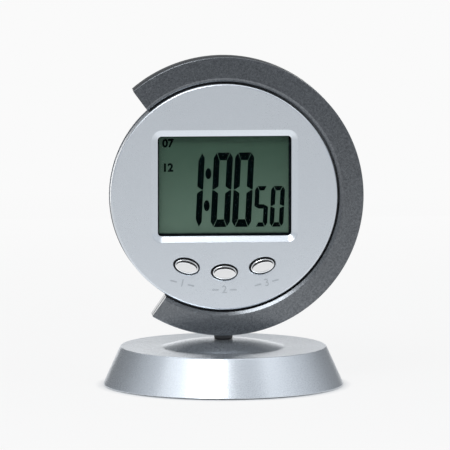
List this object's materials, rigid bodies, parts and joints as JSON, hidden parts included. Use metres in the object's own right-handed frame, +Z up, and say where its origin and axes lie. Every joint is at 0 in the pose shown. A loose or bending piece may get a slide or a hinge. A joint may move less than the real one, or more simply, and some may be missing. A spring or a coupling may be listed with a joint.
{
  "type": "digital desk clock",
  "caption": "Round digital desk clock held in an open crescent ring that swivels on a tapered round base, with oval push buttons under the display and a coin-turned battery door behind.",
  "frame": {"origin": "centre of the pad's underside, on the swivel axis and on the desk", "axes": "+Z up along the swivel axis, -Y out of the display towards the reader, +X to the reader's right"},
  "size_m": [0.0866, 0.0802, 0.11],
  "materials": {
    "silver_paint": "satin silver paint on moulded plastic",
    "gunmetal_paint": "dark metallic paint on moulded plastic",
    "dark_neck": "satin black",
    "chrome_plate": "polished",
    "zinc_steel": "zinc plated",
    "bright_steel": "bright nickel plated",
    "buzzer_brass": "plain",
    "black_plastic": "moulded",
    "black_foam": "closed-cell foam",
    "grey_rubber": "moulded",
    "black_epoxy": "cast drop",
    "circuit_board": "solder mask",
    "clear_acrylic": "clear",
    "lcd_glass": "grey-green display glass"
  },
  "bodies": {
    "stand": {"base_shell": "silver_paint", "base_plate": "black_plastic", "ballast_ring": "zinc_steel", "base_pad": "black_foam", "base_screw_1": "zinc_steel", "base_screw_2": "zinc_steel", "base_screw_3": "zinc_steel", "swivel_bush": "black_plastic"},
    "head": {"swivel_post": "dark_neck", "friction_washer": "zinc_steel", "swivel_screw": "zinc_steel", "crescent_front": "gunmetal_paint", "crescent_back": "gunmetal_paint", "crescent_screw_1": "zinc_steel", "crescent_screw_2": "zinc_steel", "crescent_screw_3": "zinc_steel", "crescent_screw_4": "zinc_steel", "front_bezel": "silver_paint", "rear_case": "gunmetal_paint", "case_screw_1": "zinc_steel", "case_screw_2": "zinc_steel", "case_screw_3": "zinc_steel", "case_screw_4": "zinc_steel", "window_lens": "clear_acrylic", "lcd_panel": "lcd_glass", "lcd_carrier": "black_plastic", "zebra_strip_upper": "grey_rubber", "zebra_strip_lower": "grey_rubber", "circuit_board": "circuit_board", "chip_blob": "black_epoxy", "quartz_crystal": "zinc_steel", "buzzer_disc": "buzzer_brass", "switch_dome_left": "grey_rubber", "switch_dome_middle": "grey_rubber", "switch_dome_right": "grey_rubber", "coin_cell": "bright_steel", "positive_contact": "bright_steel", "negative_contact": "bright_steel"},
    "button_left": {"button_left": "chrome_plate"},
    "button_middle": {"button_middle": "chrome_plate"},
    "button_right": {"button_right": "chrome_plate"},
    "battery_door": {"battery_door": "gunmetal_paint"}
  },
  "joints": [
    {"name": "head_swivel", "type": "hinge", "parent": "stand", "child": "head", "pos_m": [0, 0, 0.0155], "axis": [0, 0, 1], "continuous": true},
    {"name": "button_left_press", "type": "slide", "parent": "head", "child": "button_left", "axis": [0, 1, 0], "range_m": [0, 0.0008], "stiffness_N_per_m": 700, "springref_m": -0.0006, "deforming": ["switch_dome_left"]},
    {"name": "button_middle_press", "type": "slide", "parent": "head", "child": "button_middle", "axis": [0, 1, 0], "range_m": [0, 0.0008], "stiffness_N_per_m": 700, "springref_m": -0.0006, "deforming": ["switch_dome_middle"]},
    {"name": "button_right_press", "type": "slide", "parent": "head", "child": "button_right", "axis": [0, 1, 0], "range_m": [0, 0.0008], "stiffness_N_per_m": 700, "springref_m": -0.0006, "deforming": ["switch_dome_right"]},
    {"name": "battery_door_turn", "type": "hinge", "parent": "head", "child": "battery_door", "pos_m": [0, 0.0102, 0.05655], "axis": [0, 1, 0], "range_deg": [0, 45]}
  ]
}
